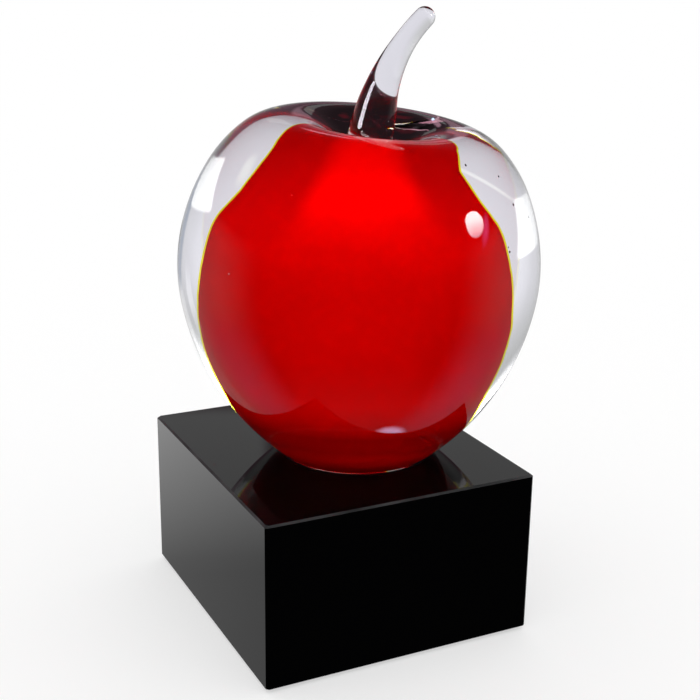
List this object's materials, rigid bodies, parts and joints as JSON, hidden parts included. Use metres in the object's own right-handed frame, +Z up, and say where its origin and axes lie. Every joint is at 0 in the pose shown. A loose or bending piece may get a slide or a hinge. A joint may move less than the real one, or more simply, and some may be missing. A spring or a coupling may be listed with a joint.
{
  "type": "art glass apple on a block",
  "caption": "Clear glass apple cased over a red core, with a curling stem, bonded to a black glass block.",
  "frame": {"origin": "centre of the felt pad's underside, on the surface that the award stands on", "axes": "+Z up, +X along the block's front face to the right, front face towards -Y"},
  "size_m": [0.095, 0.095, 0.1623],
  "materials": {
    "clear_glass": "fire polished",
    "red_glass": "opaque colour, cased over with clear",
    "clear_adhesive": "cured clear",
    "black_glass": "cut and polished",
    "black_felt": "matt felt"
  },
  "bodies": {
    "root": {"glass_casing": "clear_glass", "red_core": "red_glass", "stem": "clear_glass", "bond_disc": "clear_adhesive", "base_block": "black_glass", "felt_pad": "black_felt"}
  },
  "joints": []
}
